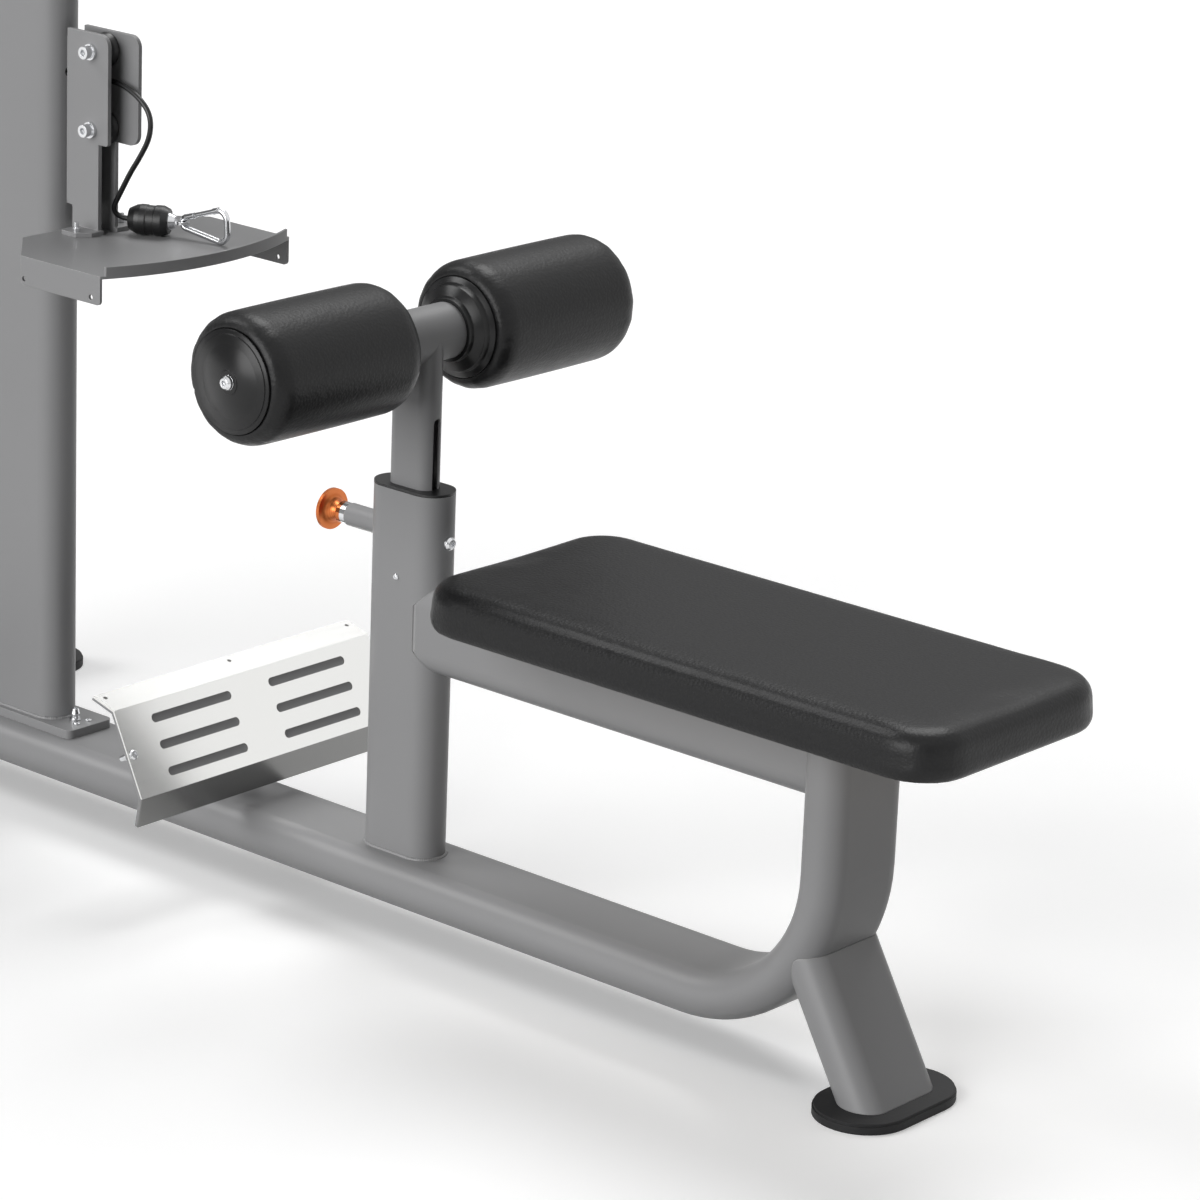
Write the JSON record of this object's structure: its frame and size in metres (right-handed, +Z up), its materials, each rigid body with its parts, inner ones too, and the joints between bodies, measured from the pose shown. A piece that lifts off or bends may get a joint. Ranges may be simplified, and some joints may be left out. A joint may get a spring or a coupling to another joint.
{
  "type": "lat pulldown and row machine",
  "caption": "Seated pulldown and low-row machine: weight tower, overhead cable and bar, footplate, adjustable padded thigh rollers and a long padded seat.",
  "frame": {"origin": "middle of the footprint, on the floor", "axes": "+X from the weight tower towards the seat end, +Z up, Y = 0 is the plane of symmetry; the seated user faces -X with their left hand at -Y"},
  "size_m": [1.9169, 1.2056, 2.2199],
  "materials": {
    "paint": "satin mid-grey powder coat",
    "black_plastic": "black nylon, satin",
    "black_rubber": "moulded black rubber",
    "vinyl": "fine-grained black vinyl",
    "chrome": "bright plated steel",
    "stainless": "bright polished stainless sheet",
    "copper": "copper-coloured anodised knob on a plated pin",
    "cable": "black nylon-coated steel cable",
    "weights": "black enamelled steel plates",
    "plywood": "plain plywood",
    "pin_red": "red moulded knob on a steel pin"
  },
  "bodies": {
    "frame": {"base_rail": "paint", "rear_leg": "paint", "front_post": "paint", "pin_housing": "paint", "seat_beam": "paint", "seat_plates": "paint", "footplate_backing": "paint", "footplate_legs": "paint", "column": "paint", "column_base_plate": "paint", "row_bracket": "paint", "shelf": "paint", "tower_base": "paint", "rear_upright": "paint", "boom": "paint", "top_brackets": "paint", "rod_plates": "paint", "post_bushes": "black_plastic", "end_caps": "black_plastic", "foot_pads": "black_rubber", "stack_bumpers": "black_rubber", "row_stopper": "black_rubber", "seat_cushion": "vinyl", "post_fittings": "chrome", "seat_screws": "chrome", "frame_bolts": "chrome", "pulley_bolts": "chrome", "guide_rods": "chrome", "row_hook": "chrome", "pin_spring": "chrome", "footplate": "stainless", "cable_held": "cable", "cable_stack_runs": "cable", "lat_cable_drop": "cable", "row_cable_tail": "cable", "resting_plates": "weights", "seat_board": "plywood"},
    "thigh_hold_down": {"thigh_post": "paint", "roller_caps": "black_plastic"},
    "stack": {"top_plate": "weights", "carriage_stem": "chrome", "lifted_plates": "weights", "cable_travel": "cable"},
    "lat_end": {"lat_stopper": "black_rubber"},
    "bar": {"lat_bar": "chrome", "lat_grips": "black_rubber"},
    "left_roller": {"left_roller": "vinyl"},
    "right_roller": {"right_roller": "vinyl"},
    "pull_pin": {"pull_pin": "copper"},
    "selector_pin": {"selector_pin": "pin_red"},
    "front_pulley": {"front_pulley": "black_plastic"},
    "rear_pulley": {"rear_pulley": "black_plastic"},
    "travel_pulley": {"travel_pulley": "black_plastic"},
    "link_pulley_a": {"link_pulley_a": "black_plastic"},
    "link_pulley_b": {"link_pulley_b": "black_plastic"},
    "column_pulley": {"column_pulley": "black_plastic"},
    "exit_roller_upper": {"exit_roller_upper": "black_plastic"},
    "exit_roller_lower": {"exit_roller_lower": "black_plastic"},
    "row_gate": {"row_gate": "chrome"}
  },
  "joints": [
    {"name": "thigh_slide", "type": "slide", "parent": "frame", "child": "thigh_hold_down", "axis": [0, 0, 1], "range_m": [-0.06, 0.09]},
    {"name": "left_roller_spin", "type": "hinge", "parent": "thigh_hold_down", "child": "left_roller", "pos_m": [0.157, 0, 0.658], "axis": [0, 1, 0], "continuous": true},
    {"name": "right_roller_spin", "type": "hinge", "parent": "thigh_hold_down", "child": "right_roller", "pos_m": [0.157, 0, 0.658], "axis": [0, 1, 0], "continuous": true},
    {"name": "pin_pull", "type": "slide", "parent": "frame", "child": "pull_pin", "axis": [-1, 0, 0], "range_m": [0, 0.012], "stiffness_N_per_m": 1200, "springref_m": -0.012},
    {"name": "stack_lift", "type": "slide", "parent": "frame", "child": "stack", "axis": [0, 0, 1], "range_m": [0, 0.5], "deforming": ["cable_stack_runs"]},
    {"name": "selector_pull", "type": "slide", "parent": "stack", "child": "selector_pin", "axis": [0, -1, 0], "range_m": [0, 0.08]},
    {"name": "travel_pulley_spin", "type": "hinge", "parent": "stack", "child": "travel_pulley", "pos_m": [-0.723, 0, 0.6445], "axis": [0, 1, 0], "continuous": true},
    {"name": "lat_pull", "type": "slide", "parent": "frame", "child": "lat_end", "axis": [0, 0, -1], "range_m": [0, 1], "deforming": ["lat_cable_drop"]},
    {"name": "bar_swivel", "type": "hinge", "parent": "lat_end", "child": "bar", "pos_m": [0.309, 0, 1.84], "axis": [0, 0, 1], "continuous": true},
    {"name": "front_pulley_spin", "type": "hinge", "parent": "frame", "child": "front_pulley", "pos_m": [0.267, 0, 2.06], "axis": [0, 1, 0], "continuous": true},
    {"name": "rear_pulley_spin", "type": "hinge", "parent": "frame", "child": "rear_pulley", "pos_m": [-0.723, 0, 2.06], "axis": [0, 1, 0], "continuous": true},
    {"name": "link_pulley_a_spin", "type": "hinge", "parent": "frame", "child": "link_pulley_a", "pos_m": [-0.639, 0, 1.995], "axis": [0, 1, 0], "continuous": true},
    {"name": "link_pulley_b_spin", "type": "hinge", "parent": "frame", "child": "link_pulley_b", "pos_m": [-0.532, 0, 1.995], "axis": [0, 1, 0], "continuous": true},
    {"name": "column_pulley_spin", "type": "hinge", "parent": "frame", "child": "column_pulley", "pos_m": [-0.448, 0, 0.894], "axis": [0, 1, 0], "continuous": true},
    {"name": "exit_roller_upper_spin", "type": "hinge", "parent": "frame", "child": "exit_roller_upper", "pos_m": [-0.326, 0, 0.8833], "axis": [0, 1, 0], "continuous": true},
    {"name": "exit_roller_lower_spin", "type": "hinge", "parent": "frame", "child": "exit_roller_lower", "pos_m": [-0.326, 0, 0.7969], "axis": [0, 1, 0], "continuous": true},
    {"name": "gate_swing", "type": "hinge", "parent": "frame", "child": "row_gate", "pos_m": [-0.23245, 0.05039, 0.70782], "axis": [-0.1045, 0.9945, 0], "range_deg": [0, 25], "stiffness_Nm_per_rad": 0.02, "springref_deg": -28.65}
  ],
  "couplings": [
    {"joint": "lat_pull", "follows": "stack_lift", "ratio": 2},
    {"joint": "front_pulley_spin", "follows": "stack_lift", "rad_per_m": 47.619},
    {"joint": "rear_pulley_spin", "follows": "stack_lift", "rad_per_m": 47.619},
    {"joint": "travel_pulley_spin", "follows": "stack_lift", "rad_per_m": 23.809},
    {"joint": "link_pulley_b_spin", "follows": "link_pulley_a_spin", "ratio": 1},
    {"joint": "column_pulley_spin", "follows": "link_pulley_a_spin", "ratio": -1}
  ]
}
